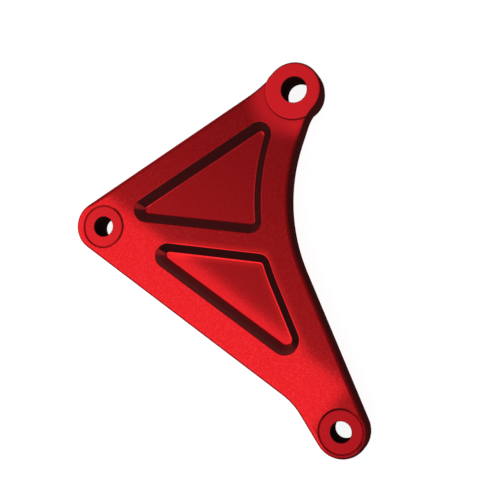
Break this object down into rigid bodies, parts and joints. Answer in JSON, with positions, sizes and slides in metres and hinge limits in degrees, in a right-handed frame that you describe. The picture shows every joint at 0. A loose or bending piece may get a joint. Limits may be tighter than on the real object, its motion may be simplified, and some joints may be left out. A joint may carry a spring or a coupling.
{
  "type": "suspension linkage arm",
  "caption": "Flat one-piece suspension link plate with three bored eyes, two shallow triangular pockets and a rib between them.",
  "frame": {"origin": "on the axis of the main pivot bore, in the plane of the three back boss faces that the link lies on", "axes": "+Z out of the front (pocket) face, along the bores; the lower pivot lies along -Y and the side pivot is out towards -X"},
  "size_m": [0.1076, 0.1523, 0.014],
  "materials": {
    "anodised_aluminium": "bead-blasted and anodised satin red, with flat machined boss faces and plain bores"
  },
  "bodies": {
    "root": {"link_arm": "anodised_aluminium"}
  },
  "joints": []
}
